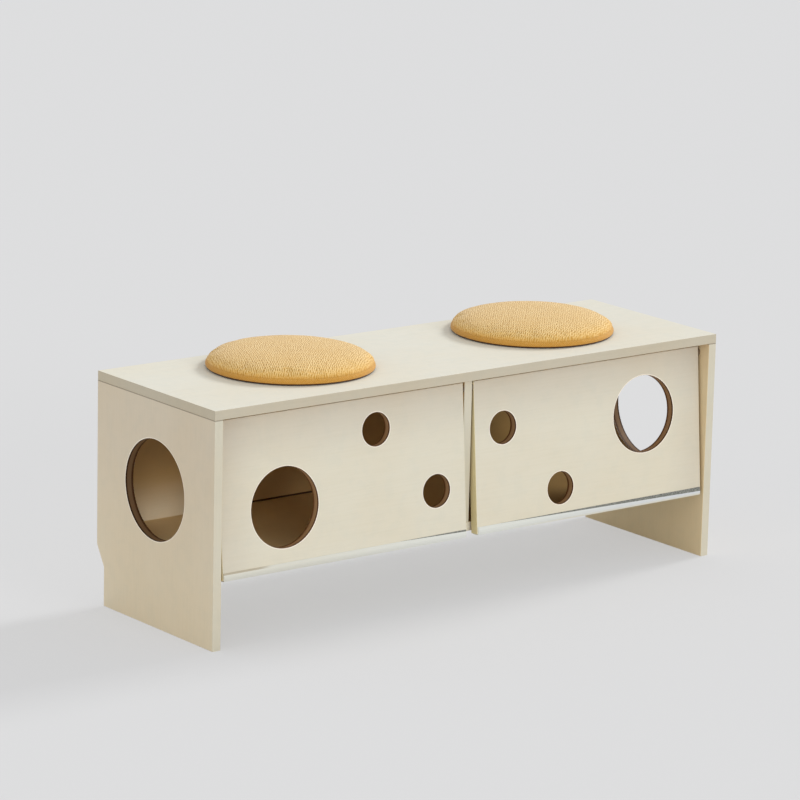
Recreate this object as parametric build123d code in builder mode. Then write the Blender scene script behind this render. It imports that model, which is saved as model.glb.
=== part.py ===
"""Cat house bench: a low bench with two cat compartments behind leaning lift-up doors.

Millimetres. X runs along the bench, Y from front to back, Z up. The origin is on the floor,
under the middle of the bench. The doors are closed and the cushions lie on the top.
"""
from build123d import *
from math import asin, atan2, cos, degrees, hypot, sin
import os

os.makedirs("parts", exist_ok=True)

# Overall sizes
bench_length = 1200.0
bench_depth = 380.0
seat_height = 450.0
board = 18.0  # thickness of every wooden board
edge_ease = 0.8  # rounding of the painted edges

# Compartments
floor_height = 150.0  # top of the bottom panel
inner_setback = 25.0  # from the front to the bottom panel and the divider

# Side panels: the round entrance and the cut-out that clears a skirting board
entrance_diameter = 192.0
entrance_height = 262.0
skirting_depth = 24.0
skirting_height = 76.0
skirting_slope = 40.0  # height of the slanted part above the cut-out
skirting_corner = 14.0

# Doors. Hole places are measured from the middle of the left door, seen from the front.
# The right door is the same board turned upside down.
outer_door_gap = 5.2  # between a door and its side panel
inner_door_gap = 3.6  # between a door and the divider
door_top_gap = 9.4  # between a door and the top panel
door_foot_drop = 21.5  # how far a door reaches below the compartment floor
big_hole_diameter = 152.0
big_hole_place = (-138.0, -31.0)
small_hole_diameter = 64.0
small_hole_places = ((75.0, 86.0), (213.0, -50.0))

# Pivots in the upper corners of the doors
pivot_setback = 34.5  # behind the front edges of the side panels
pivot_margin = 12.0  # below the top edge of the door
pin_diameter = 8.0
pin_in_door = 25.0
bush_wall = 2.0
bush_web = 3.0  # wood that is left between the two bushes in the divider
bush_collar = 2.5  # how far the collar reaches past the sleeve

# Felt bumpers that the closed doors lean on
bumper_diameter = 10.0
bumper_thickness = 2.8
bumper_inset = 60.0  # from the ends of the door

# Metal edge pull along the foot of each door: a thin angle with a crowned front
pull_height = 13.7  # above the lower edge of the door
pull_lip = 1.5  # thickness of the lip under the door
pull_lip_depth = 13.0
pull_edge = 0.5  # how far it stands off the door along its long edges
pull_crown = 2.1  # the same along its middle
pull_end_inset = 1.8
pull_screw_count = 4
pull_screw_margin = 42.0  # from the ends of the pull

# Screws: shank, head, length, cross recess
small_screw = (3.0, 5.6, 16.0, 3.4)
large_screw = (4.0, 8.0, 40.0, 4.8)
cross_width = 0.9
cross_depth = 0.9
back_screw_places = (-480.0, -200.0, 200.0, 480.0)
divider_screw_heights = (220.0, 360.0)

# Dowels
dowel_diameter = 8.0
dowel_length = 30.0
dowel_in_face = 10.5  # the rest of its length is in the edge of the other board
dowel_offset = 75.0  # from the middle of the depth
back_dowel_heights = (205.0, 365.0)

# Cam fittings: a bolt in the face of one board, a disc in the other that draws it tight
cam_offset = 120.0  # from the middle of the depth
disc_diameter = 15.0
disc_depth = 12.5
disc_distance = 34.0  # from the edge of its board
slot_width = 1.6
slot_depth = 1.5
bolt_thread = 7.0
bolt_thread_length = 11.0
bolt_shank = 5.0
bolt_head = 7.0
bolt_head_length = 3.0
bolt_bore = 8.0

# Cushions
cushion_diameter = 320.0
cushion_base_diameter = 308.0
cushion_height = 43.0
cushion_band = 12.0  # height of the side band below the seam
cushion_bulge = 1.5  # how far the band swells past the seam
cushion_shoulder_inset = 34.0  # where the side turns into the flatter top
cushion_shoulder_height = 35.0
cushion_setback = 215.0  # from the front to the middles of the cushions
left_cushion_inset = 323.0  # from the left end of the bench
right_cushion_inset = 292.0  # from the right end

# Clearances
fit_gap = 0.05  # around a dowel, screw, bush or pin in its own hole
turning_gap = 0.08  # around a pin that turns in its bush
rest_gap = 0.3  # between two pieces that lie, lean or slide on each other
end_gap = 0.5  # at the bottom of a blind hole

# Places that follow from these sizes
half_length = bench_length / 2
half_depth = bench_depth / 2
front = -half_depth
under_top = seat_height - board
side_face = half_length - board
divider_face = board / 2
inner_front = front + inner_setback
back_face = half_depth - board
bottom_face = floor_height - board
bottom_middle = floor_height - board / 2
back_middle = half_depth - board / 2
upright_middles = (-half_length + board / 2, 0, half_length - board / 2)

# Door sizes: closed, the back of a door meets the upper front corner of its bumpers
door_width = side_face - divider_face - outer_door_gap - inner_door_gap
door_middle = side_face - outer_door_gap - door_width / 2
pivot_y = front + pivot_setback
pivot_z = under_top - door_top_gap - pivot_margin
reach_y = pivot_y - (inner_front - bumper_thickness - rest_gap)
reach_z = pivot_z - (bottom_middle + bumper_diameter / 2)
lean = atan2(reach_y, reach_z) + asin(board / 2 / hypot(reach_y, reach_z))
door_foot = -(pivot_z - floor_height + door_foot_drop) / cos(lean)
door_height = pivot_margin - door_foot
door_centre = pivot_margin - door_height / 2

# The closed doors' own plane: origin on the pivot axis, its Y up the door, its Z out of it
door_plane = Plane((0, pivot_y, pivot_z), x_dir=(1, 0, 0), z_dir=(0, -cos(lean), sin(lean)))

bush_radius = pin_diameter / 2 + bush_wall
bush_depth = (board - bush_web) / 2
pull_length = door_width - 2 * pull_end_inset
pull_screw_step = (pull_length - 2 * pull_screw_margin) / (pull_screw_count - 1)


def facing(point, direction):
    """A plane at a point, with its Z axis along a direction."""
    return Plane(origin=point, z_dir=direction)


def drill(places, diameter, depth):
    """Cuts a blind hole under each plane."""
    with Locations(*places):
        Hole(diameter / 2 + fit_gap, depth)


def sink(places, screw):
    """Cuts a through hole with a countersink for a screw under each plane."""
    shank, head = screw[:2]
    with Locations(*places):
        CounterSinkHole(shank / 2 + fit_gap, head / 2 + fit_gap, counter_sink_angle=90)


def drill_pilots(places):
    """Cuts the blind holes that the large screws bite in, under the joint with the first board."""
    shank, head, length, cross = large_screw
    drill(places, shank, length - board + end_gap)


def add_bars(places, diameter, length):
    """Adds a round bar that starts on each plane and runs along its Z axis."""
    with Locations(*places):
        Cylinder(diameter / 2, length, align=(Align.CENTER, Align.CENTER, Align.MIN))


# Places of the joints, as planes on the joint that look into the edge of the second board.

def top_joints(offset, middles=upright_middles):
    """From the top panel down into the side panels and the divider."""
    return [facing((x, y, under_top), (0, 0, -1)) for x in middles for y in (-offset, offset)]


def bottom_joints(offset, sides=(-1, 1)):
    """From the side panels into the ends of the bottom panel."""
    return [facing((side * side_face, y, bottom_middle), (-side, 0, 0))
            for side in sides for y in (-offset, offset)]


def back_joints(sides=(-1, 1)):
    """From the side panels into the ends of the back panel."""
    return [facing((side * side_face, back_middle, z), (-side, 0, 0))
            for side in sides for z in back_dowel_heights]


def divider_joints(offset):
    """From the bottom panel up into the divider."""
    return [facing((0, y, floor_height), (0, 0, 1)) for y in (-offset, offset)]


def opposite(places):
    """The same planes, looking the other way."""
    return [facing(plane.origin, plane.z_dir * -1) for plane in places]


def drill_face(dowels, bolts=()):
    """Holes in the face of the first board for the dowels and the bolt threads."""
    drill(dowels, dowel_diameter, dowel_in_face + end_gap)
    if bolts:
        drill(bolts, bolt_thread, bolt_thread_length + end_gap)


def drill_edge(dowels, bolts=()):
    """Holes in the edge of the second board for the dowels and the bolts."""
    drill(opposite(dowels), dowel_diameter, dowel_length - dowel_in_face + end_gap)
    if bolts:
        drill(opposite(bolts), bolt_bore, disc_distance)


def disc_places_upright(x, direction):
    """Cam discs near the top of an upright board, as planes on its face."""
    return [facing((x, y, under_top - disc_distance), (direction, 0, 0))
            for y in (-cam_offset, cam_offset)]


def disc_places_bottom(side):
    """Cam discs near one end of the bottom panel, as planes on its underside."""
    x = side * (side_face - disc_distance)
    return [facing((x, y, bottom_face), (0, 0, -1)) for y in (-cam_offset, cam_offset)]


def bush_place(side, outer):
    """Where a bush meets its board: an outer one in a side panel, an inner one in the divider."""
    face = side_face if outer else divider_face
    inward = -side if outer else side
    return facing((side * face, pivot_y, pivot_z), (inward, 0, 0))


rear_screws = [facing((x, half_depth, bottom_middle), (0, 1, 0)) for x in back_screw_places]
divider_rear_screws = [facing((0, half_depth, z), (0, 1, 0)) for z in divider_screw_heights]
divider_foot_screws = [facing((0, y, bottom_face), (0, 0, -1)) for y in (-cam_offset, cam_offset)]


# Top panel
with BuildPart() as top_panel:
    with BuildSketch(Plane.XY.offset(under_top)):
        Rectangle(bench_length, bench_depth)
    extrude(amount=board)
    fillet(top_panel.edges(), edge_ease)
    drill_face(top_joints(dowel_offset), top_joints(cam_offset))
top_panel.part.label = "top_panel"
export_step(top_panel.part, "parts/top_panel.step")


# Side panels
def make_side_panel(name, side):
    """One side panel, with its entrance and its skirting cut-out; side is -1 or 1."""
    leg_back = half_depth - skirting_depth
    outer_face = side * half_length
    with BuildPart() as panel:
        with BuildSketch(Plane.YZ.offset(min(outer_face, outer_face - side * board))):
            with BuildLine():
                Polyline((front, 0), (front, under_top), (half_depth, under_top),
                         (half_depth, skirting_height + skirting_slope),
                         (leg_back, skirting_height), (leg_back, 0), close=True)
            make_face()
            slope_ends = vertices().filter_by(lambda v: 0 < v.Y < under_top)
            fillet(slope_ends, skirting_corner)
            with Locations((0, entrance_height)):
                Circle(entrance_diameter / 2, mode=Mode.SUBTRACT)
        extrude(amount=board)
        fillet(panel.faces().filter_by(Axis.X).edges(), edge_ease)
        drill_edge(top_joints(dowel_offset, [side * (half_length - board / 2)]),
                   top_joints(cam_offset, [side * (half_length - board / 2)]))
        drill_face(bottom_joints(dowel_offset, [side]) + back_joints([side]),
                   bottom_joints(cam_offset, [side]))
        drill(disc_places_upright(side * side_face, -side), disc_diameter, disc_depth + end_gap)
        drill([bush_place(side, True)], 2 * bush_radius, bush_depth)
    panel.part.label = name
    export_step(panel.part, f"parts/{name}.step")


make_side_panel("left_side_panel", -1)
make_side_panel("right_side_panel", 1)


# Bottom panel, the floor of both compartments
with BuildPart() as bottom_panel:
    with BuildSketch(Plane.XY.offset(bottom_face)):
        with Locations((0, (inner_front + back_face) / 2)):
            Rectangle(2 * side_face, back_face - inner_front)
    extrude(amount=board)
    fillet(bottom_panel.edges().filter_by(Axis.X), edge_ease)
    drill_edge(bottom_joints(dowel_offset), bottom_joints(cam_offset))
    drill(disc_places_bottom(-1) + disc_places_bottom(1), disc_diameter, disc_depth + end_gap)
    drill_face(divider_joints(dowel_offset))
    sink(divider_foot_screws, large_screw)
    drill_pilots([facing((x, back_face, bottom_middle), (0, 1, 0)) for x in back_screw_places])
bottom_panel.part.label = "bottom_panel"
export_step(bottom_panel.part, "parts/bottom_panel.step")


# Back panel
with BuildPart() as back_panel:
    with BuildSketch(Plane.XZ.offset(-half_depth)):
        with Locations((0, (bottom_face + under_top) / 2)):
            Rectangle(2 * side_face, under_top - bottom_face)
    extrude(amount=board)
    fillet(back_panel.edges().filter_by(Axis.X), edge_ease)
    drill_edge(back_joints())
    sink(rear_screws + divider_rear_screws, large_screw)
back_panel.part.label = "back_panel"
export_step(back_panel.part, "parts/back_panel.step")


# Divider between the compartments
with BuildPart() as centre_divider:
    with BuildSketch(Plane.XY.offset(floor_height)):
        with Locations((0, (inner_front + back_face) / 2)):
            Rectangle(board, back_face - inner_front)
    extrude(amount=under_top - floor_height)
    fillet(centre_divider.edges().filter_by(Axis.Z), edge_ease)
    drill_edge(top_joints(dowel_offset, [0]), top_joints(cam_offset, [0]))
    drill_edge(divider_joints(dowel_offset))
    drill(disc_places_upright(-divider_face, -1), disc_diameter, disc_depth + end_gap)
    drill([bush_place(-1, False), bush_place(1, False)], 2 * bush_radius, bush_depth)
    drill_pilots([facing((0, y, floor_height), (0, 0, -1)) for y in (-cam_offset, cam_offset)])
    drill_pilots([facing((0, back_face, z), (0, 1, 0)) for z in divider_screw_heights])
centre_divider.part.label = "centre_divider"
export_step(centre_divider.part, "parts/centre_divider.step")


# Doors
def door_point(along, up, out):
    """A point on the closed doors, from the pivot axis."""
    return door_plane.from_local_coords(Vector(along, up, out))


def pull_screw_places(side, up):
    """The screws of one edge pull, as planes that look down from the foot of the door."""
    first = side * door_middle - pull_length / 2 + pull_screw_margin
    return [facing(door_point(first + i * pull_screw_step, up, board / 2 - pull_lip_depth / 2),
                   door_plane.y_dir * -1) for i in range(pull_screw_count)]


def make_door(name, side, turn):
    """One door; turn is 1 for the left door's face and -1 for the same face upside down."""
    middle = side * door_middle
    with BuildPart() as panel:
        with BuildSketch(door_plane.offset(-board / 2)):
            with Locations((middle, door_centre)):
                Rectangle(door_width, door_height)
            with Locations((middle + turn * big_hole_place[0],
                            door_centre + turn * big_hole_place[1])):
                Circle(big_hole_diameter / 2, mode=Mode.SUBTRACT)
            with Locations(*[(middle + turn * along, door_centre + turn * up)
                             for along, up in small_hole_places]):
                Circle(small_hole_diameter / 2, mode=Mode.SUBTRACT)
        extrude(amount=board)
        fillet(panel.edges(), edge_ease)
        ends = [facing((middle + end * door_width / 2, pivot_y, pivot_z), (end, 0, 0))
                for end in (-1, 1)]
        drill(ends, pin_diameter, pin_in_door + end_gap)
        shank, head, length, cross = small_screw
        drill(pull_screw_places(side, door_foot), shank, length - pull_lip + end_gap)
    panel.part.label = name
    export_step(panel.part, f"parts/{name}.step")


def make_pin(name, side, outer):
    """A steel pivot pin in one end of a door."""
    gap = outer_door_gap if outer else inner_door_gap
    out = side if outer else -side
    start = side * door_middle + out * (door_width / 2 - pin_in_door)
    with BuildPart() as pin:
        add_bars([facing((start, pivot_y, pivot_z), (out, 0, 0))], pin_diameter,
                 pin_in_door + gap + bush_depth - end_gap)
        chamfer(pin.edges().filter_by(GeomType.CIRCLE), edge_ease)
    pin.part.label = name
    export_step(pin.part, f"parts/{name}.step")


def make_bush(name, side, outer):
    """A nylon bush in a board, with a collar that keeps the door in the middle."""
    gap = outer_door_gap if outer else inner_door_gap
    place = bush_place(side, outer)
    with BuildPart() as bush:
        add_bars([place.offset(-bush_depth)], 2 * bush_radius, bush_depth)
        add_bars([place], 2 * (bush_radius + bush_collar), gap - rest_gap)
        with Locations(place):
            Hole(pin_diameter / 2 + turning_gap)
    bush.part.label = name
    export_step(bush.part, f"parts/{name}.step")


def make_edge_pull(name, side):
    """The thin metal angle that is screwed under the foot of a door."""
    corner = door_point(side * door_middle + pull_length / 2, door_foot, board / 2)
    middle_height = (pull_height - pull_lip) / 2
    with BuildPart() as pull:
        with BuildSketch(Plane(origin=corner, x_dir=door_plane.z_dir, z_dir=(-1, 0, 0))):
            with BuildLine():
                crown = ThreePointArc((pull_edge, pull_height), (pull_crown, middle_height),
                                      (pull_edge, -pull_lip))
                Polyline(crown @ 1, (-pull_lip_depth, -pull_lip), (-pull_lip_depth, 0), (0, 0),
                         (0, pull_height), crown @ 0)
            make_face()
        extrude(amount=pull_length)
        sink(pull_screw_places(side, door_foot - pull_lip), small_screw)
    pull.part.label = name
    export_step(pull.part, f"parts/{name}.step")


def make_screws(name, places, screw):
    """Countersunk screws with a cross recess, flush with their planes."""
    shank, head, length, cross = screw
    with BuildPart() as screws:
        with Locations(*places):
            Cylinder(shank / 2, length, align=(Align.CENTER, Align.CENTER, Align.MAX))
            Cone(shank / 2, head / 2, (head - shank) / 2,
                 align=(Align.CENTER, Align.CENTER, Align.MAX))
            for long_side, short_side in ((cross, cross_width), (cross_width, cross)):
                Box(long_side, short_side, cross_depth, mode=Mode.SUBTRACT,
                    align=(Align.CENTER, Align.CENTER, Align.MAX))
    screws.part.label = name
    export_step(screws.part, f"parts/{name}.step")


make_door("left_door", -1, 1)
make_door("right_door", 1, -1)
for side, name in ((-1, "left"), (1, "right")):
    make_pin(f"{name}_door_outer_pin", side, True)
    make_pin(f"{name}_door_inner_pin", side, False)
    make_bush(f"{name}_outer_bush", side, True)
    make_bush(f"{name}_inner_bush", side, False)
    make_edge_pull(f"{name}_edge_pull", side)
    make_screws(f"{name}_pull_screws", pull_screw_places(side, door_foot - pull_lip), small_screw)


# Felt bumpers on the front edge of the bottom panel, two behind each door
bumper_span = door_width / 2 - bumper_inset
with BuildPart() as door_bumpers:
    add_bars([facing((side * door_middle + end * bumper_span, inner_front, bottom_middle),
                     (0, -1, 0)) for side in (-1, 1) for end in (-1, 1)],
             bumper_diameter, bumper_thickness)
door_bumpers.part.label = "door_bumpers"
export_step(door_bumpers.part, "parts/door_bumpers.step")


# Dowels and cam fittings
def make_dowels(name, places):
    """Wooden dowels across the joints, the short end in the face of the first board."""
    with BuildPart() as dowels:
        add_bars([plane.offset(-dowel_in_face) for plane in places], dowel_diameter, dowel_length)
    dowels.part.label = name
    export_step(dowels.part, f"parts/{name}.step")


def make_cam_bolts(name, places):
    """Bolts that stand in the face of one board and reach into the edge of the other."""
    shank_length = disc_distance - bolt_head_length
    with BuildPart() as bolts:
        add_bars([plane.offset(-bolt_thread_length) for plane in places], bolt_thread,
                 bolt_thread_length)
        add_bars(places, bolt_shank, shank_length)
        add_bars([plane.offset(shank_length) for plane in places], bolt_head, bolt_head_length)
    bolts.part.label = name
    export_step(bolts.part, f"parts/{name}.step")


def make_cam_discs(name, places, towards_bolts):
    """Slotted discs with a pocket for the bolt's head; towards_bolts is one for each disc."""
    with BuildPart() as discs:
        with Locations(*places):
            Cylinder(disc_diameter / 2, disc_depth, align=(Align.CENTER, Align.CENTER, Align.MAX))
            for long_side, short_side in ((disc_diameter, slot_width), (slot_width, disc_diameter)):
                Box(long_side, short_side, slot_depth, mode=Mode.SUBTRACT,
                    align=(Align.CENTER, Align.CENTER, Align.MAX))
        pockets = [facing(plane.offset(-board / 2).origin - towards * rest_gap, towards)
                   for plane, towards in zip(places, towards_bolts)]
        with Locations(*pockets):
            Cylinder(bolt_bore / 2, disc_diameter, mode=Mode.SUBTRACT,
                     align=(Align.CENTER, Align.CENTER, Align.MIN))
    discs.part.label = name
    export_step(discs.part, f"parts/{name}.step")


make_dowels("top_dowels", top_joints(dowel_offset))
make_dowels("bottom_dowels", bottom_joints(dowel_offset))
make_dowels("back_dowels", back_joints())
make_dowels("divider_dowels", divider_joints(dowel_offset))
make_cam_bolts("top_cam_bolts", top_joints(cam_offset))
make_cam_bolts("bottom_cam_bolts", bottom_joints(cam_offset))

upright_discs = (disc_places_upright(-side_face, 1) + disc_places_upright(side_face, -1)
                 + disc_places_upright(-divider_face, -1))
make_cam_discs("top_cam_discs", upright_discs, [Vector(0, 0, 1)] * len(upright_discs))
make_cam_discs("bottom_cam_discs", disc_places_bottom(-1) + disc_places_bottom(1),
               [Vector(-1, 0, 0)] * 2 + [Vector(1, 0, 0)] * 2)
make_screws("back_panel_screws", rear_screws + divider_rear_screws, large_screw)
make_screws("divider_screws", divider_foot_screws, large_screw)


# Cushions: flat below, a low band up to the seam, then one crowned top
def make_cushion(name, x):
    """One cushion, with its middle at x."""
    rim = cushion_diameter / 2 - cushion_bulge
    shoulder = cushion_diameter / 2 - cushion_shoulder_inset
    centre = (x, front + cushion_setback, seat_height + rest_gap)
    with BuildPart() as cushion:
        with BuildSketch(Plane(origin=centre, x_dir=(1, 0, 0), z_dir=(0, -1, 0))):
            with BuildLine():
                crown = TangentArc((0, cushion_height), (shoulder, cushion_shoulder_height),
                                   tangent=(1, 0))
                flank = TangentArc(crown @ 1, (rim, cushion_band), tangent=crown % 1)
                band = ThreePointArc(flank @ 1, (cushion_diameter / 2, cushion_band / 2),
                                     (cushion_base_diameter / 2, 0))
                Polyline(band @ 1, (0, 0), crown @ 0)
            make_face()
        revolve(axis=Axis(centre, (0, 0, 1)))
    cushion.part.label = name
    export_step(cushion.part, f"parts/{name}.step")


make_cushion("left_cushion", left_cushion_inset - half_length)
make_cushion("right_cushion", half_length - right_cushion_inset)

print(f"door {door_width:.1f} x {door_height:.1f}, leaning {degrees(lean):.2f} degrees")
print(f"pivot axis at y {pivot_y:.2f}, z {pivot_z:.2f}, foot at {door_foot:.2f}")
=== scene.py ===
# %% [markdown]
# # Dressing a cat house bench
#
# The bench is a low painted box on two side panels. Two doors lean outwards at their feet, round
# holes let a cat in and out, and two round cushions lie on the seat. The boards, doors, pins and
# screws already have their true shapes, so this lesson gives them their finishes, sews the two
# cushions and sets up a plain studio with the camera where the picture was taken.

# %% Load the frame
import math

import bmesh
import bpy
from mathutils import Matrix, Vector, noise


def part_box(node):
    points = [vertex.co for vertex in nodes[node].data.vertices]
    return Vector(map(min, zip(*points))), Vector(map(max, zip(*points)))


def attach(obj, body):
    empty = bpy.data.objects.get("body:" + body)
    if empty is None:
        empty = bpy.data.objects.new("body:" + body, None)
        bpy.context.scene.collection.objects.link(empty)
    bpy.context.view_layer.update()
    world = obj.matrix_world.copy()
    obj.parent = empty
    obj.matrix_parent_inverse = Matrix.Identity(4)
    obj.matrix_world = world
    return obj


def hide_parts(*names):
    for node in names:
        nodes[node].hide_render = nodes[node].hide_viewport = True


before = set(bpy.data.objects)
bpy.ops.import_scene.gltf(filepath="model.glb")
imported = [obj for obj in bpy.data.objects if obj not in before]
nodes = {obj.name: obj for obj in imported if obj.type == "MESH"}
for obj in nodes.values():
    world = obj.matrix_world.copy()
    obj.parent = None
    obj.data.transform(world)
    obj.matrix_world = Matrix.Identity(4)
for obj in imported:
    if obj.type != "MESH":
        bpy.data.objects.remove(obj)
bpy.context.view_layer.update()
print("pieces in the frame:", len(nodes))

# %% [markdown]
# ## Sizes that the finishes need
#
# A finish that changes from place to place, such as bare board inside a hole, has to know where
# the hole is. Materials read places on the pieces at rest, so a place is taken from a piece's
# box where the box tells it, and the few that a box can't tell are written here once. A hole's
# place on a door is given from the door's middle, along the bench and up the door.

# %% Places on the bench
side_hole_height = 0.262
side_hole_radius = 0.096
door_big_radius = 0.076
door_small_radius = 0.032
door_pivot = Vector((0.0, -0.1555, 0.4106))
door_lean = math.radians(4.6725)
door_middle = 0.2947
door_centre_drop = 0.13552
big_hole_place = (-0.138, -0.031)
small_hole_places = ((0.075, 0.086), (0.213, -0.050))

seat_low, seat_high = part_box("top_panel")
board = seat_high.z - seat_low.z
half_length = seat_high.x
front = seat_low.y
print("seat height", round(seat_high.z, 4), "board", round(board, 4))

# %% [markdown]
# ## The camera
#
# The camera stands low in front of the left corner, far away behind a long lens, so the bench's
# edges stay nearly parallel. It leans by a little more than a degree. A camera looks along its
# own minus Z, so its three axes are worked out first and then put in one matrix.

# %% Set the camera
camera_place = Vector((-4.7979, -6.1379, 2.2261))
camera_turn = math.radians(-37.814)
camera_dip = math.radians(13.509)
camera_roll = math.radians(1.321)
bench_middle = Vector((0, 0, 0.25))

look_back = Vector((math.sin(camera_turn) * math.cos(camera_dip),
                    -math.cos(camera_turn) * math.cos(camera_dip),
                    math.sin(camera_dip)))
level_right = Vector((0, 0, 1)).cross(look_back).normalized()
level_up = look_back.cross(level_right)
right = level_right * math.cos(camera_roll) + level_up * math.sin(camera_roll)
up = level_up * math.cos(camera_roll) - level_right * math.sin(camera_roll)

camera_data = bpy.data.cameras.new("studio_camera")
camera_data.lens = 188.10
camera_data.sensor_width = 36.0
camera_data.clip_end = 200.0
camera = bpy.data.objects.new("studio_camera", camera_data)
camera.matrix_world = Matrix((
    (right.x, up.x, look_back.x, camera_place.x),
    (right.y, up.y, look_back.y, camera_place.y),
    (right.z, up.z, look_back.z, camera_place.z),
    (0, 0, 0, 1)))
bpy.context.scene.collection.objects.link(camera)
bpy.context.scene.camera = camera
bpy.context.scene.view_settings.view_transform = "Standard"
print("camera distance", round((camera_place - bench_middle).length, 3))

# %% [markdown]
# ## A small kit for finishes
#
# Every finish here is a Principled shader whose colour, roughness and bump come from a few noise
# and mask nodes. The same handful of steps comes back each time, so each gets a short helper:
# one adds a node, one mixes two colours, and one turns a height pattern into a bump. Specular
# level and sheen are the same all over a piece, so they are set on the shader itself.

# %% Helpers for finishes
class Finish:
    """One material and the few ways this lesson adds nodes to it."""

    def __init__(self, name, roughness=0.5, metallic=0.0, specular=0.5):
        self.material = bpy.data.materials.new(name)
        self.material.use_nodes = True
        self.tree = self.material.node_tree
        self.shader = self.tree.nodes["Principled BSDF"]
        self.shader.inputs["Roughness"].default_value = roughness
        self.shader.inputs["Metallic"].default_value = metallic
        self.shader.inputs["Specular IOR Level"].default_value = specular
        self.place = self.add("ShaderNodeTexCoord").outputs["Object"]

    def add(self, kind, **settings):
        node = self.tree.nodes.new(kind)
        for key, value in settings.items():
            setattr(node, key, value)
        return node

    def join(self, source, target):
        self.tree.links.new(source, target)

    def feed(self, target, value):
        """Sets a socket to a number or colour, or joins another socket to it."""
        if isinstance(value, bpy.types.NodeSocket):
            self.join(value, target)
        elif isinstance(value, (int, float)):
            target.default_value = value
        elif len(value) == 3 and target.type == "RGBA":
            target.default_value = (*value, 1.0)
        else:
            target.default_value = value

    def math(self, operation, first, second=0.0, third=0.0):
        node = self.add("ShaderNodeMath", operation=operation)
        for socket, value in zip(node.inputs, (first, second, third)):
            self.feed(socket, value)
        return node.outputs[0]

    def axes(self, source=None):
        """The X, Y and Z of a place, as three sockets."""
        node = self.add("ShaderNodeSeparateXYZ")
        self.join(source or self.place, node.inputs[0])
        return node.outputs[0], node.outputs[1], node.outputs[2]

    def stretched(self, scale, turn=(0, 0, 0), move=(0, 0, 0)):
        """The place on the piece, scaled, turned and moved."""
        node = self.add("ShaderNodeMapping")
        self.join(self.place, node.inputs["Vector"])
        node.inputs["Scale"].default_value = scale
        node.inputs["Rotation"].default_value = turn
        node.inputs["Location"].default_value = move
        return node.outputs[0]

    def noise(self, place, scale, detail=3.0, rough=0.55):
        node = self.add("ShaderNodeTexNoise")
        self.join(place, node.inputs["Vector"])
        node.inputs["Scale"].default_value = scale
        node.inputs["Detail"].default_value = detail
        node.inputs["Roughness"].default_value = rough
        return node.outputs["Fac"]

    def ramp(self, value, low, high, out_low=0.0, out_high=1.0, smooth=True):
        """Spreads a value between two limits onto two other limits."""
        node = self.add("ShaderNodeMapRange")
        if smooth:
            node.interpolation_type = "SMOOTHSTEP"
        for name, number in (("From Min", low), ("From Max", high),
                             ("To Min", out_low), ("To Max", out_high)):
            node.inputs[name].default_value = number
        self.feed(node.inputs["Value"], value)
        return node.outputs["Result"]

    def mix(self, share, first, second, blend="MIX"):
        node = self.add("ShaderNodeMix", data_type="RGBA", blend_type=blend)
        self.feed(node.inputs[0], share)
        self.feed(node.inputs[6], first)
        self.feed(node.inputs[7], second)
        return node.outputs[2]

    def colour(self, value):
        self.feed(self.shader.inputs["Base Color"], value)

    def roughness(self, value):
        self.feed(self.shader.inputs["Roughness"], value)

    def bump(self, height, distance, strength=1.0):
        node = self.add("ShaderNodeBump")
        node.inputs["Strength"].default_value = strength
        node.inputs["Distance"].default_value = distance
        self.join(height, node.inputs["Height"])
        self.join(node.outputs["Normal"], self.shader.inputs["Normal"])


def wear(finish, *names):
    """Puts a finish on pieces of the frame."""
    for name in names:
        for slot in nodes[name].material_slots:
            slot.material = finish.material


def shade(rgb, factor):
    """A colour made darker or lighter by a factor for each channel."""
    if isinstance(factor, (int, float)):
        factor = (factor, factor, factor)
    return tuple(min(1.0, c * f) for c, f in zip(rgb, factor))


# %% [markdown]
# ## Painted boards
#
# The boards are smooth fibreboard under a thin satin paint in warm off-white. Up close such
# paint isn't even: fibres show as faint streaks along the board, the roller leaves a fine
# orange peel, and the tone drifts from place to place. Three noises make these at their own
# scales. Other tones lie over the paint in layers, each with a mask that says where it shows.

# %% The paint
paint_top = (0.805, 0.785, 0.690)
paint_front = (0.765, 0.722, 0.592)
# The side paint is the same paint made warmer and yellower, a painted tint of shade for the side panels and
# the back.
paint_side = (0.800, 0.712, 0.565)
paint_edge = (0.585, 0.530, 0.415)
paint_front_edge = (0.680, 0.640, 0.520)
# A painted highlight along the eased edges of the holes.
rim_highlight = (0.960, 0.890, 0.770)
inner_side = (0.810, 0.670, 0.440)
inner_board = (0.640, 0.430, 0.190)
inner_right = (0.430, 0.275, 0.100)
# A painted pool of light for the inner back near the left entrance.
light_pool_tone = (0.810, 0.690, 0.490)
floor_inside = (0.790, 0.590, 0.310)
# A painted shadow for the crease where the floor board meets the inner back.
crease_shade_tone = (0.070, 0.032, 0.010)
door_end = (0.780, 0.690, 0.420)
fibre_across, fibre_along = 90.0, 4.0
drift_scale, cloud_scale, peel_scale = 4.0, 38.0, 900.0
paint_relief = 0.00012


def streaks(finish, along):
    """Faint fibres along one axis of the board, from 0 to 1."""
    scale = [fibre_across] * 3
    scale["xyz".index(along)] = fibre_along
    return finish.noise(finish.stretched(scale), 3.0, 4.0, 0.6)


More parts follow.
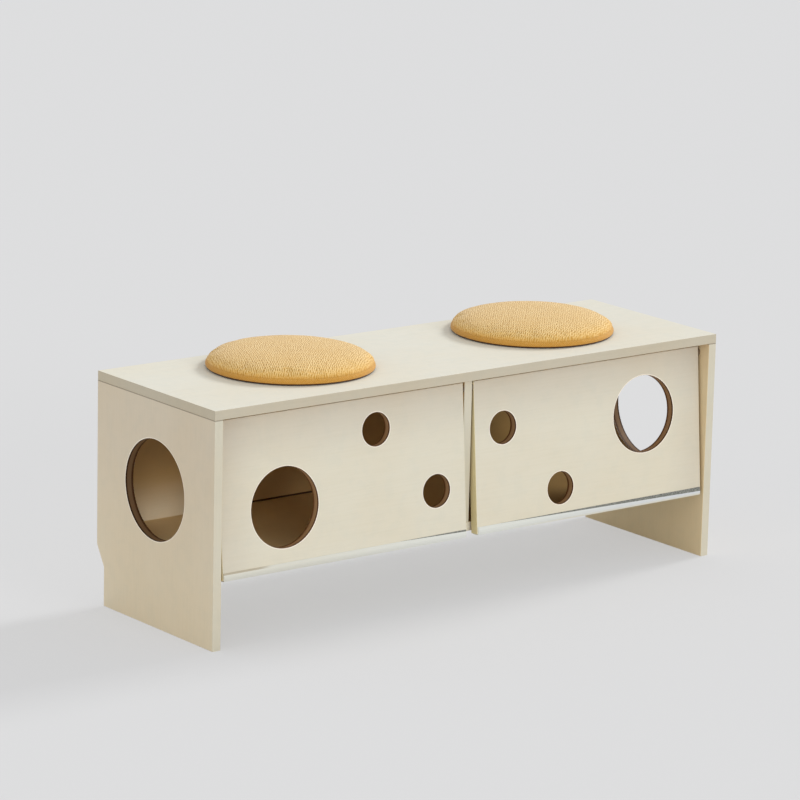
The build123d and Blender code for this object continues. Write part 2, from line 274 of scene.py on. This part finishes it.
def painted(name, tone, along, layers):
    """Satin paint with fibres along an axis, and layers of (mask, tone) over it."""
    finish = Finish(name, roughness=0.5, specular=0.22)
    fibre = streaks(finish, along)
    drift = finish.noise(finish.place, drift_scale, 2.0)
    clouds = finish.noise(finish.place, cloud_scale, 3.0, 0.6)
    peel = finish.noise(finish.place, peel_scale, 2.0)
    coat = tone(finish) if callable(tone) else tone
    for mask, other in layers:
        coat = finish.mix(mask(finish), coat, other(finish) if callable(other) else other)
    tinted = finish.mix(1.0, coat, (0.965, 0.955, 0.930), "MULTIPLY")
    coat = finish.mix(finish.ramp(fibre, 0.35, 0.75, 0.0, 0.55), coat, tinted)
    warmer = finish.mix(1.0, coat, (0.992, 0.965, 0.925), "MULTIPLY")
    coat = finish.mix(finish.ramp(drift, 0.35, 0.65, 0.0, 0.75), coat, warmer)
    cooler = finish.mix(1.0, coat, (0.955, 0.972, 0.985), "MULTIPLY")
    coat = finish.mix(finish.ramp(clouds, 0.42, 0.68, 0.0, 0.55), coat, cooler)
    finish.colour(coat)
    finish.roughness(finish.ramp(drift, 0.3, 0.7, 0.46, 0.56))
    height = finish.math("ADD", finish.math("MULTIPLY", fibre, 0.6), finish.math("MULTIPLY", peel, 0.4))
    finish.bump(height, paint_relief, 0.5)
    return finish


def faded(tone, axis, start, end, factor):
    """A tone that changes by a factor between two distances from zero on one axis."""
    def graded(finish):
        value = finish.math("ABSOLUTE", finish.axes()["xyz".index(axis)])
        base = tone(finish) if callable(tone) else tone
        darker = finish.mix(1.0, base, factor, "MULTIPLY")
        return finish.mix(finish.ramp(value, start, end), base, darker)
    return graded


def beyond(axis, limit, above=True):
    """A mask of everything past a limit on one axis, or with |x or |y on both sides of zero."""
    def mask(finish):
        value = finish.axes()["xyz".index(axis.strip("|"))]
        if axis.startswith("|"):
            value = finish.math("ABSOLUTE", value)
        return finish.math("GREATER_THAN" if above else "LESS_THAN", value, limit)
    return mask


# %% [markdown]
# ### The cut inside a hole
#
# A saw cut through fibreboard shows its layers: dark, dense skins at both faces and a paler,
# softer middle. Just outside the cut the paint gets a bright rim, a painted highlight where the
# eased edge catches the light. Both need one number, how far a place lies outside the nearest
# hole's wall, and the cut also needs the depth below the board's face.

# %% Cut walls and rims
cut_skin = (0.085, 0.030, 0.006)
cut_middle = (0.430, 0.255, 0.130)
cut_back = (0.160, 0.066, 0.018)
rim_width = 0.0021
wall_slack = 0.0002
saw_wander = 0.003
front_skin_ends = (0.0022, 0.0052)
back_skin_starts = (0.0115, 0.0145)


def distance(finish, across, above):
    """How far a place lies from an axis, from its two offsets."""
    return finish.math("SQRT", finish.math("ADD", finish.math("MULTIPLY", across, across),
                                            finish.math("MULTIPLY", above, above)))


def hole_layers(outside, depth, dim=1.0):
    """The painted highlight at the rim and the layered cut, from two functions that measure a place."""
    def rim(finish):
        return finish.ramp(outside(finish), rim_width * 0.7, rim_width * 1.1, 1.0, 0.0)

    def cut(finish):
        return finish.math("LESS_THAN", outside(finish), wall_slack)

    def layered(finish):
        grain = finish.noise(finish.place, 700.0, 5.0, 0.7)
        wander = finish.math("MULTIPLY", finish.math("SUBTRACT", grain, 0.5), saw_wander)
        deep = finish.math("ADD", depth(finish), wander)
        tone = finish.mix(finish.ramp(deep, *front_skin_ends), shade(cut_skin, dim), shade(cut_middle, dim))
        return finish.mix(finish.ramp(deep, *back_skin_starts), tone, shade(cut_back, dim))

    return [(rim, rim_highlight), (cut, layered)]


# %% [markdown]
# ### Side panels, seat, back, divider and floor board
#
# On a side panel the wall of the round entrance is every point nearer to the hole's axis than
# its radius. The inner faces are yellower than the outside, and inside the compartments the
# boards are a warm light brown. Cut edges drink more paint than faces, so the seat's edge band
# is darker, and a fine painted shadow line darkens the panels just under the seat. A mask for a
# face starts a little below the face, so that it takes the face and not the edge beside it.

# %% Boards of the case
skin = 0.0005
panel_edge_skin, seat_edge_skin, seat_under_skin = 0.0008, 0.0006, 0.0003
divider_edge_skin = 0.0012
seat_shadow_height, floor_joint_height = 0.0016, 0.0034
pale_along, pale_above = (-0.42, -0.30), (0.150, 0.245)
joint_along = (-0.40, -0.33)
panel_foot, panel_head = 0.02, 0.42


def outside_side_hole(finish):
    x, y, z = finish.axes()
    return finish.math("SUBTRACT", distance(finish, y, finish.math("SUBTRACT", z, side_hole_height)),
                       side_hole_radius)


def depth_in_side_panel(finish):
    return finish.math("SUBTRACT", half_length, finish.math("ABSOLUTE", finish.axes()[0]))


def inside_tone(finish, left=inner_board):
    """Light brown on the left, and darker on the right as painted shade in the right compartment."""
    return finish.mix(finish.math("GREATER_THAN", finish.axes()[0], 0.0), left, inner_right)


def back_inside(finish):
    """The inner back, with a painted pool of light low down near the left entrance."""
    x, y, z = finish.axes()
    pale = finish.math("MULTIPLY", finish.ramp(x, *pale_along, 1.0, 0.0),
                       finish.ramp(z, *pale_above, 1.0, 0.0))
    return finish.mix(pale, inside_tone(finish), light_pool_tone)


back_low, back_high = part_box("back_panel")
floor_low, floor_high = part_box("bottom_panel")


def floor_crease_shadow(finish):
    """A painted shadow in the crease where the floor board meets the inner back."""
    x, y, z = finish.axes()
    inner = finish.math("LESS_THAN", y, back_low.y + skin)
    line = finish.math("LESS_THAN", z, floor_high.z + floor_joint_height)
    return finish.math("MULTIPLY", finish.math("MULTIPLY", inner, line), finish.ramp(x, *joint_along))


# The side panels are painted darker towards the top and lighter and warmer towards the foot: painted shade
# above and painted floor bounce below.
side_tone = faded(shade(paint_side, (1.01, 1.01, 0.97)), "z", panel_foot, panel_head,
                  (0.885, 0.880, 0.915))
side_paint = painted("side_panel_paint", side_tone, "z", [
    (beyond("y", front + panel_edge_skin, above=False), paint_front_edge),
    (beyond("|x", half_length - board + skin, above=False), inner_side),
    # dim=0.55 darkens the cut in the side entrance: painted shade on its wall.
    *hole_layers(outside_side_hole, depth_in_side_panel, dim=0.55),
    # A painted shadow line darkens the panels just under the seat.
    (beyond("z", seat_low.z - seat_shadow_height), shade(paint_side, 0.5))])
wear(side_paint, "left_side_panel", "right_side_panel")
wear(painted("seat_paint", paint_top, "x", [
    (beyond("|x", half_length - seat_edge_skin), paint_edge),
    (beyond("y", front + seat_edge_skin, above=False), paint_edge),
    (beyond("z", seat_low.z + seat_under_skin, above=False), inner_board)]), "top_panel")
wear(painted("back_paint", paint_side, "x",
             [(beyond("y", back_low.y + skin, above=False), back_inside),
              (floor_crease_shadow, crease_shade_tone)]), "back_panel")
wear(painted("floor_board_paint", paint_front, "x",
             [(beyond("z", floor_high.z - skin), lambda finish: inside_tone(finish, floor_inside))]),
     "bottom_panel")
wear(painted("divider_paint", paint_front_edge, "z",
             [(beyond("y", floor_low.y + divider_edge_skin), inside_tone)]), "centre_divider")
print("case painted, seat joint at", round(seat_low.z, 4))

# %% [markdown]
# ### Doors
#
# The doors lean, so their holes' axes lean too. A place is first measured in the door's own
# directions: along the bench, up the slope from the pivots, and into the board. In those
# directions each hole is a plain circle again. The right door is the left one turned upside
# down, so its holes are the left ones turned by half a turn. A door's ends are yellower,
# because the edge paint there is thin.

# %% Doors
door_end_reach = 0.2816
door_back_skin = 0.0006


def door_directions(finish):
    """Along the bench, up the door and into the board from its front face."""
    x, y, z = finish.axes()
    back = finish.math("SUBTRACT", y, door_pivot.y)
    high = finish.math("SUBTRACT", z, door_pivot.z)
    rise = finish.math("ADD", finish.math("MULTIPLY", high, math.cos(door_lean)),
                       finish.math("MULTIPLY", back, math.sin(door_lean)))
    deep = finish.math("SUBTRACT", finish.math("MULTIPLY", back, math.cos(door_lean)),
                       finish.math("MULTIPLY", high, math.sin(door_lean)))
    return x, rise, finish.math("ADD", deep, board / 2)


def door_holes(side):
    """The middles and radii of the holes in one door, along the bench and up its slope."""
    places = [(*big_hole_place, door_big_radius)]
    places += [(*place, door_small_radius) for place in small_hole_places]
    return [(side * door_middle - side * along, -door_centre_drop - side * rise, radius)
            for along, rise, radius in places]


def door_layers(side):
    """The yellow ends, the inner face and the holes of the left (-1) or right (1) door."""
    def outside(finish):
        x, rise, deep = door_directions(finish)
        nearest = None
        for middle, height, radius in door_holes(side):
            reach = distance(finish, finish.math("SUBTRACT", x, middle),
                             finish.math("SUBTRACT", rise, height))
            gap = finish.math("SUBTRACT", reach, radius)
            nearest = gap if nearest is None else finish.math("MINIMUM", nearest, gap)
        return nearest

    def ends(finish):
        off_middle = finish.math("SUBTRACT", finish.axes()[0], side * door_middle)
        return finish.math("GREATER_THAN", finish.math("ABSOLUTE", off_middle), door_end_reach)

    def back_face(finish):
        return finish.math("GREATER_THAN", door_directions(finish)[2], board - door_back_skin)

    return [(ends, door_end), (back_face, inner_board),
            *hole_layers(outside, lambda finish: door_directions(finish)[2])]


# The doors are painted darker towards their tops, painted shade under the seat's overhang, and towards
# their outer ends beside the side panels.
door_tone = faded(faded(paint_front, "z", 0.30, 0.425, (0.86, 0.845, 0.855)),
                  "x", 0.47, 0.575, (0.90, 0.885, 0.885))
for side, name in ((-1, "left_door"), (1, "right_door")):
    wear(painted(name + "_paint", door_tone, "x", door_layers(side)), name)
    print(name, "holes at", [[round(v, 3) for v in hole] for hole in door_holes(side)])

# %% [markdown]
# ## Metal along the feet of the doors
#
# A thin angle of pale brushed aluminium runs along the foot of each door. Its front is crowned,
# and its colour drifts from cream on the left to bluish white on the right, a painted reflection
# of the studio in the metal. A grey line along its upper edge is painted shade in the gap where it
# meets the paint. The line is narrow on the left door and widens along the right one. Fine lines
# from brushing run along the metal, so the noise is stretched along X.

# %% Edge pulls
pull_low, pull_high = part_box("left_edge_pull")
door_foot = -0.28304
pull_top = 0.0137
foot_edge = (0.0010, 0.0026)
grey_growth = {-1: (-0.17, -0.014, 0.0032), 1: (0.07, 0.578, 0.0078)}
tan_height, tan_along = 0.0034, (-0.50, -0.46)
# Tones along the pull, from cream to bluish white: a painted reflection of the studio.
pull_left, pull_middle, pull_right = (0.735, 0.720, 0.625), (0.775, 0.790, 0.735), (0.725, 0.750, 0.765)
pull_foot, pull_brushed, pull_tan = (0.770, 0.745, 0.640), (0.690, 0.695, 0.655), (0.50, 0.44, 0.33)
grey_dark, grey_light = (0.115, 0.12, 0.105), (0.32, 0.325, 0.29)


def brushed_pull(name, side):
    """Aluminium for the left (-1) or right (1) pull, with painted reflection tones and a painted shade line
    that grows along it.
    """
    finish = Finish(name, roughness=0.42, metallic=0.35)
    lines = finish.noise(finish.stretched((3.0, 900.0, 900.0)), 1.0, 3.0)
    specks = finish.noise(finish.place, 420.0, 3.0, 0.7)
    x, rise, deep = door_directions(finish)
    above_foot = finish.math("SUBTRACT", rise, door_foot)
    base = finish.mix(finish.ramp(x, -0.45, 0.0), pull_left, pull_middle)
    base = finish.mix(finish.ramp(x, 0.1, 0.5), base, pull_right)
    low_tone = finish.mix(finish.ramp(x, 0.05, 0.3), base, pull_foot)
    base = finish.mix(finish.ramp(above_foot, *foot_edge, 1.0, 0.0), base, low_tone)
    base = finish.mix(finish.ramp(lines, 0.3, 0.7, 0.0, 0.45), base, pull_brushed)
    # A grey line of painted shade along the top, growing wider along the pull.
    start, end, height = grey_growth[side]
    edge = finish.ramp(x, start, end, 0.0, height, smooth=False)
    line = finish.math("GREATER_THAN", above_foot, finish.math("SUBTRACT", pull_top, edge))
    coat = finish.mix(line, base, finish.mix(finish.ramp(specks, 0.38, 0.62), grey_dark, grey_light))
    tan = finish.math("MULTIPLY", finish.math("GREATER_THAN", above_foot, pull_top - tan_height),
                      finish.ramp(x, *tan_along, 1.0, 0.0))
    finish.colour(finish.mix(tan, coat, pull_tan))
    finish.roughness(finish.ramp(lines, 0.3, 0.7, 0.36, 0.5))
    finish.bump(lines, 0.00008, 0.4)
    return finish


wear(brushed_pull("left_pull_aluminium", -1), "left_edge_pull")
wear(brushed_pull("right_pull_aluminium", 1), "right_edge_pull")
print("pull height", round(pull_high.z - pull_low.z, 4))

# %% [markdown]
# ## Hidden and small fittings
#
# Pins, screws, cam bolts and discs are steel and cast zinc with turning marks, the bushes are
# brown nylon, the bumpers brown felt and the dowels beech. They show through the gaps, from
# below and from behind, and each gets its own finish at its own scale.

# %% Metal, nylon, felt and beech
def turned_metal(name, tone, roughness):
    """Steel or zinc with fine tool marks and duller spots."""
    finish = Finish(name, roughness=roughness, metallic=1.0)
    marks = finish.noise(finish.place, 1800.0, 2.0)
    spots = finish.noise(finish.place, 160.0, 3.0)
    finish.colour(finish.mix(finish.ramp(spots, 0.35, 0.7), tone, shade(tone, 0.8)))
    finish.roughness(finish.ramp(spots, 0.3, 0.7, roughness - 0.06, roughness + 0.1))
    finish.bump(marks, 0.00004, 0.5)
    return finish


wear(turned_metal("pin_steel_finish", (0.30, 0.27, 0.23), 0.34),
     "left_door_outer_pin", "left_door_inner_pin", "right_door_outer_pin", "right_door_inner_pin")
wear(turned_metal("screw_steel_finish", (0.62, 0.62, 0.60), 0.36),
     "left_pull_screws", "right_pull_screws", "back_panel_screws", "divider_screws")
wear(turned_metal("cam_zinc_finish", (0.52, 0.53, 0.55), 0.48),
     "top_cam_bolts", "bottom_cam_bolts", "top_cam_discs", "bottom_cam_discs")

nylon = Finish("bush_nylon_finish", roughness=0.45)
nylon.colour(nylon.mix(nylon.ramp(nylon.noise(nylon.place, 300.0), 0.3, 0.7),
                       (0.150, 0.100, 0.060), (0.120, 0.078, 0.045)))
nylon.bump(nylon.noise(nylon.place, 2500.0, 2.0), 0.00003, 0.4)
wear(nylon, "left_outer_bush", "left_inner_bush", "right_outer_bush", "right_inner_bush")

felt = Finish("bumper_felt_finish", roughness=0.95, specular=0.1)
felt_fibres = felt.noise(felt.place, 1500.0, 4.0, 0.7)
felt.colour(felt.mix(felt_fibres, (0.16, 0.11, 0.07), (0.34, 0.26, 0.18)))
felt.bump(felt_fibres, 0.0004, 0.8)
wear(felt, "door_bumpers")

beech = Finish("dowel_beech_finish", roughness=0.6)
beech_grain = beech.noise(beech.stretched((40.0, 300.0, 300.0)), 1.0, 4.0)
beech.colour(beech.mix(beech_grain, (0.66, 0.46, 0.27), (0.52, 0.33, 0.18)))
beech.bump(beech_grain, 0.0001, 0.5)
wear(beech, "top_dowels", "bottom_dowels", "back_dowels", "divider_dowels")
print("small fittings finished")

# %% [markdown]
# ## The shape of a cushion
#
# A round seat pad is cut as one big circle for the top and a narrow strip for the band, sewn
# together low on the side. The filling pushes the top up into a flat dome and makes the band
# bulge, and the seam holds them back. The blank for it is a profile of a few points that a
# spin turns round the pad's middle. It starts a little small, because the cloth swells later,
# and a little too deep, because its foot is pressed flat on the seat at the end.

# %% Spin a blank
cushion_seam = 0.0125
merge_gap = 0.00005


def cushion_box(node):
    """The middle of a cushion's underside, its radius and its height."""
    low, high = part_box(node)
    foot = Vector(((low.x + high.x) / 2, (low.y + high.y) / 2, low.z))
    return foot, (high.x - low.x) / 2, high.z - low.z


def spin_profile(mesh, points, steps):
    """Turns a line of points round Z into a closed skin."""
    line = [mesh.verts.new((radius, 0, height)) for radius, height in points]
    edges = [mesh.edges.new(pair) for pair in zip(line, line[1:])]
    bmesh.ops.spin(mesh, geom=line + edges, cent=(0, 0, 0), axis=(0, 0, 1), dvec=(0, 0, 0),
                   angle=math.tau, steps=steps, use_merge=True, use_duplicate=False)
    bmesh.ops.remove_doubles(mesh, verts=mesh.verts, dist=merge_gap)
    bmesh.ops.recalc_face_normals(mesh, faces=mesh.faces)


def cushion_profile(radius, height):
    """The pad's outline from the middle of its underside to the middle of its top.

    Its points are shares of the radius and of the height, and those below zero get pressed flat.
    """
    crown = [(0.0, 1.0), (0.20, 0.988), (0.40, 0.948), (0.57, 0.882), (0.71, 0.795), (0.82, 0.690),
             (0.905, 0.575), (0.960, 0.465), (0.988, 0.365)]
    band = [(0.999, 0.250), (1.000, 0.120), (1.000, 0.040), (0.996, -0.035), (0.978, -0.090)]
    under = [(0.80, -0.10), (0.50, -0.10), (0.25, -0.10), (0.0, -0.10)]
    outline = [(share * radius, level * height) for share, level in crown + band + under]
    return outline[::-1]


# %% [markdown]
# ## Inflating the cover
#
# The cloth simulator works on an even net, so the blank is remeshed into small voxels first and
# then blown up softly for twenty steps with gravity off. The pull of the cloth rounds every
# corner and leaves slight unevenness, as a stuffed cover has. Left alone it would turn the pad
# into a ball, so how far a point may go is capped. A low cap keeps the pad's rim smooth.

# %% Simulate the cover
cloth_pressure = 4.0
cloth_cap = 0.0035
cloth_steps = 20


def piece_from(mesh, name):
    """A new object in the scene that takes over a bmesh."""
    data = bpy.data.meshes.new(name)
    mesh.to_mesh(data)
    mesh.free()
    item = bpy.data.objects.new(name, data)
    bpy.context.scene.collection.objects.link(item)
    return item


def apply_modifiers(item):
    """Puts the result of the live modifiers in the mesh."""
    graph = bpy.context.evaluated_depsgraph_get()
    data = bpy.data.meshes.new_from_object(item.evaluated_get(graph))
    item.modifiers.clear()
    item.data = data


def inflate(item, pressure, cap):
    """Blows the skin up with cloth, and keeps each point within cap of where it was."""
    before = [v.co.copy() for v in item.data.vertices]
    cloth = item.modifiers.new("cloth", "CLOTH")
    cloth.settings.quality = 6
    cloth.settings.use_pressure = True
    cloth.settings.uniform_pressure_force = pressure
    cloth.settings.tension_stiffness = 20
    cloth.settings.compression_stiffness = 20
    cloth.settings.bending_stiffness = 0.6
    cloth.settings.effector_weights.gravity = 0
    cloth.point_cache.frame_start = 1
    cloth.point_cache.frame_end = cloth_steps
    scene = bpy.context.scene
    for frame_number in range(1, cloth_steps + 1):
        scene.frame_set(frame_number)
    apply_modifiers(item)
    scene.frame_set(1)
    moved = 0.0
    for vertex, start in zip(item.data.vertices, before):
        step = vertex.co - start
        moved = max(moved, step.length)
        if step.length > cap:
            vertex.co = start + step * (cap / step.length)
    return moved


# %% [markdown]
# ## Sewing the seam
#
# After the remesh the seam is worked in by moving points. Near the seam's height the skin is
# drawn in towards the middle in a narrow groove, the band below it bulges, and gentle waves of
# noise make the top look stuffed by hand. The underside is pressed flat on the seat, because
# that is what the pad lies on.

# %% Shape one cover
groove_depth, groove_width = 0.0011, 0.0024
bulge_depth, bulge_width = 0.0006, 0.0042
bulge_level = cushion_seam * 0.48
wave_lift, wave_scale = 0.0011, 9
ripple_lift, ripple_scale = 0.00035, 26
still_middle = 0.02
rim_share = 0.8
voxel, quick_voxel = 0.0045, 0.006
blank_radius_share, blank_height_share = 0.985, 0.97
spin_steps = 96


def settle(item, centre, radius, height, seed):
    """Presses the underside flat, draws in the seam and keeps the pad within its size."""
    for vertex in item.data.vertices:
        place = vertex.co
        reach = math.hypot(place.x, place.y)
        level = place.z
        if level < 0.0:
            place.z = 0.0
        if reach > still_middle and level > 0.0:
            wave = noise.noise(Vector((place.x * wave_scale + seed, place.y * wave_scale, 3.1)))
            ripple = noise.noise(Vector((place.x * ripple_scale + seed, place.y * ripple_scale, 7.7)))
            place.z += (wave * wave_lift + ripple * ripple_lift) * min(1.0, level / height)
        groove = math.exp(-((level - cushion_seam) / groove_width) ** 2) * groove_depth
        bulge = math.exp(-((level - bulge_level) / bulge_width) ** 2) * bulge_depth
        if reach > radius * rim_share:
            scale = (reach - groove + bulge) / reach
            place.x *= scale
            place.y *= scale
    low = Vector([min(v.co[i] for v in item.data.vertices) for i in range(3)])
    high = Vector([max(v.co[i] for v in item.data.vertices) for i in range(3)])
    size = high - low
    fit = Vector((2 * radius / size.x, 2 * radius / size.y, height / size.z))
    for vertex in item.data.vertices:
        place = vertex.co
        vertex.co = Vector((place.x * fit.x, place.y * fit.y, (place.z - low.z) * fit.z)) + centre
    return fit


def sew_cushion(name, node, seed):
    """A stuffed cover in the space of a plain cushion."""
    centre, radius, height = cushion_box(node)
    mesh = bmesh.new()
    outline = cushion_profile(radius * blank_radius_share, height * blank_height_share)
    spin_profile(mesh, outline, spin_steps)
    item = piece_from(mesh, name)
    net = item.modifiers.new("net", "REMESH")
    net.mode = "VOXEL"
    net.voxel_size = voxel
    apply_modifiers(item)
    farthest = inflate(item, cloth_pressure, cloth_cap)
    print(name, "would have moved", round(farthest, 4), "and was held at", cloth_cap)
    smooth = item.modifiers.new("smooth", "SUBSURF")
    smooth.levels = 1
    smooth.render_levels = 1
    apply_modifiers(item)
    fit = settle(item, centre, radius, height, seed)
    for face in item.data.polygons:
        face.use_smooth = True
    print(name, "points", len(item.data.vertices), "fit", [round(v, 3) for v in fit])
    return item


left_cover = sew_cushion("left_cushion_cover", "left_cushion", 1.7)
right_cover = sew_cushion("right_cushion_cover", "right_cushion", 8.3)

# %% [markdown]
# ## Mustard canvas
#
# The cover is a coarse weave of mustard yarns, some lighter and some darker, so from near its
# ridges show and it looks speckled. Two families of waves that cross at a small angle make the
# ridges, and noise breaks them up. On the low band the flat directions no longer follow the
# cloth, so there the waves run round the pad and up its side. The side and the band are more
# orange than the top, and a faint dark line marks the seam. The underside and the lowest few
# millimetres of the band are painted dark brown, a painted contact shadow between the pad and
# the seat.

# %% Weave
ridge_pitch = 0.0042
ridge_cross = 0.45
ridge_wander = 0.009
slub_scale, cloud_size = 360.0, 20.0
weave_share = 0.32
side_reach = 0.018
band_below, band_above = 0.0045, 0.0085
seam_line = (0.0004, 0.0011)
weave_relief = 0.0004
yarn_light, yarn_mid, yarn_dark = (0.900, 0.680, 0.330), (0.760, 0.480, 0.160), (0.430, 0.220, 0.045)
side_warm = (0.760, 0.430, 0.075)
band_tone = (0.500, 0.212, 0.014)
# A painted contact shadow at the pad's foot, and its height.
contact_shade_tone = (0.065, 0.020, 0.002)
contact_shade_height = 0.0034


def canvas(name, node, turn):
    """The cover's cloth, with its ridges turned by an angle."""
    centre, radius, height = cushion_box(node)
    finish = Finish(name, roughness=0.9, specular=0.15)
    finish.shader.inputs["Sheen Weight"].default_value = 0.2
    finish.shader.inputs["Sheen Roughness"].default_value = 0.5
    local = finish.stretched((1, 1, 1), move=(-centre.x, -centre.y, -centre.z))
    x, y, z = finish.axes(local)
    wander = finish.math("SUBTRACT", finish.noise(local, 90.0, 3.0), 0.5)
    wobble = finish.math("MULTIPLY", wander, ridge_wander)

    def across(angle):
        return finish.math("SUBTRACT", finish.math("MULTIPLY", y, math.cos(angle)),
                           finish.math("MULTIPLY", x, math.sin(angle)))

    round_it = finish.math("MULTIPLY", finish.math("ARCTAN2", y, x), radius)
    low = finish.math("LESS_THAN", z, cushion_seam)

    def either(upper, lower):
        """The first value on the top and the second on the band."""
        chosen = finish.add("ShaderNodeMix")
        for socket, value in zip((chosen.inputs[0], chosen.inputs[2], chosen.inputs[3]),
                                 (low, upper, lower)):
            finish.feed(socket, value)
        return chosen.outputs[0]

    def waves(value):
        turns = finish.math("MULTIPLY", finish.math("ADD", value, wobble), math.tau / ridge_pitch)
        return finish.math("ADD", finish.math("MULTIPLY", finish.math("SINE", turns), 0.5), 0.5)

    ridges = waves(either(across(turn), finish.math("ADD", round_it, z)))
    crossed = waves(either(across(turn + ridge_cross), finish.math("SUBTRACT", round_it, z)))
    slubs = finish.noise(local, slub_scale, 3.0, 0.75)
    clouds = finish.noise(local, cloud_size, 3.0)
    weave = finish.math("MULTIPLY", finish.math("ADD", ridges, crossed), 0.5)
    speckle = finish.math("ADD", finish.math("MULTIPLY", weave, weave_share),
                          finish.math("MULTIPLY", slubs, 1.0 - weave_share))
    tone = finish.mix(finish.ramp(speckle, 0.47, 0.58), yarn_mid, yarn_light)
    tone = finish.mix(finish.ramp(speckle, 0.38, 0.485, 1.0, 0.0), tone, yarn_dark)
    tone = finish.mix(finish.ramp(clouds, 0.35, 0.7, 0.0, 0.3), tone, shade(yarn_mid, 0.95))
    on_side = finish.ramp(z, cushion_seam, cushion_seam + side_reach, 0.45, 0.0)
    tone = finish.mix(on_side, tone, side_warm)
    on_band = finish.ramp(z, cushion_seam - band_below, cushion_seam + band_above, 1.0, 0.0)
    tone = finish.mix(on_band, tone, finish.mix(0.64, tone, band_tone))
    off_seam = finish.math("ABSOLUTE", finish.math("SUBTRACT", z, cushion_seam))
    tone = finish.mix(finish.ramp(off_seam, *seam_line, 0.2, 0.0), tone, shade(band_tone, 0.6))
    # The lowest few millimetres are painted dark brown: a painted contact shadow on the pad.
    tone = finish.mix(finish.math("LESS_THAN", z, contact_shade_height), tone, contact_shade_tone)
    finish.colour(tone)
    finish.bump(finish.math("ADD", weave, finish.math("MULTIPLY", slubs, 1.2)), weave_relief, 0.6)
    return finish


for cover, node, turn in ((left_cover, "left_cushion", 0.71), (right_cover, "right_cushion", 0.40)):
    cover.data.materials.clear()
    cover.data.materials.append(canvas(node + "_canvas", node, turn).material)
    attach(cover, node)
    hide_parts(node)
print("cushions covered")

# %% [markdown]
# ## The studio floor
#
# The picture was taken on a pale grey sweep that fills the whole view, so one large plane does
# for it. In the picture its shadows are lighter than a plain floor would show. For the camera,
# for glossy metal and for glass the floor therefore has some glow of its own in the same grey,
# while the light that it throws back on the bench stays a plain floor's.

# %% Floor
floor_grey = 0.724
floor_glow = 0.61
floor_half_size = 40.0

sweep = bmesh.new()
bmesh.ops.create_grid(sweep, x_segments=1, y_segments=1, size=floor_half_size)
studio_floor = piece_from(sweep, "studio_floor")
paper = Finish("studio_floor_paper", roughness=0.9, specular=0.0)
paper.colour((floor_grey, floor_grey + 0.006, floor_grey + 0.022))
glow = paper.add("ShaderNodeEmission")
glow.inputs["Color"].default_value = (floor_grey, floor_grey, floor_grey * 1.004, 1.0)
path = paper.add("ShaderNodeLightPath")
seen = paper.math("MAXIMUM", path.outputs["Is Camera Ray"],
                  paper.math("MAXIMUM", path.outputs["Is Glossy Ray"], path.outputs["Is Transmission Ray"]))
blend = paper.add("ShaderNodeMixShader")
paper.join(paper.math("MULTIPLY", seen, floor_glow), blend.inputs[0])
paper.join(paper.shader.outputs[0], blend.inputs[1])
paper.join(glow.outputs[0], blend.inputs[2])
paper.join(blend.outputs[0], paper.tree.nodes["Material Output"].inputs["Surface"])
studio_floor.data.materials.append(paper.material)
print("floor laid")

# %% [markdown]
# ## The lights
#
# A firm light stands low on the right, because each cushion throws a clear shadow to its left.
# A broad one in front shines almost level into the holes and lights the back of the left
# compartment. A weak one fills the left side, and the sky gives even light from all round.
# A sun's share says how much of full light it gives to a surface that faces it.

# %% Lights
def soft_sun(name, source, share, spread, tint=(1, 1, 1)):
    """A sun that shines from a direction, with its spread in degrees."""
    data = bpy.data.lights.new(name, "SUN")
    data.color = tint
    data.energy = share * math.pi
    data.angle = math.radians(spread)
    lamp = bpy.data.objects.new(name, data)
    lamp.rotation_euler = Vector(source).to_track_quat("Z", "Y").to_euler()
    bpy.context.scene.collection.objects.link(lamp)


soft_sun("right_light", (0.86, 0.08, 0.50), 0.56, 14.0)
soft_sun("front_light", (0.11, -1.0, 0.27), 0.26, 20.0)
soft_sun("left_fill", (-1.0, -0.25, 0.15), 0.15, 50.0, tint=(1.0, 0.88, 0.68))

sky = bpy.data.worlds.new("studio_sky")
sky.use_nodes = True
sky.node_tree.nodes["Background"].inputs["Color"].default_value = (1.0, 1.0, 1.0, 1.0)
sky.node_tree.nodes["Background"].inputs["Strength"].default_value = 0.635
bpy.context.scene.world = sky
print("lights set")
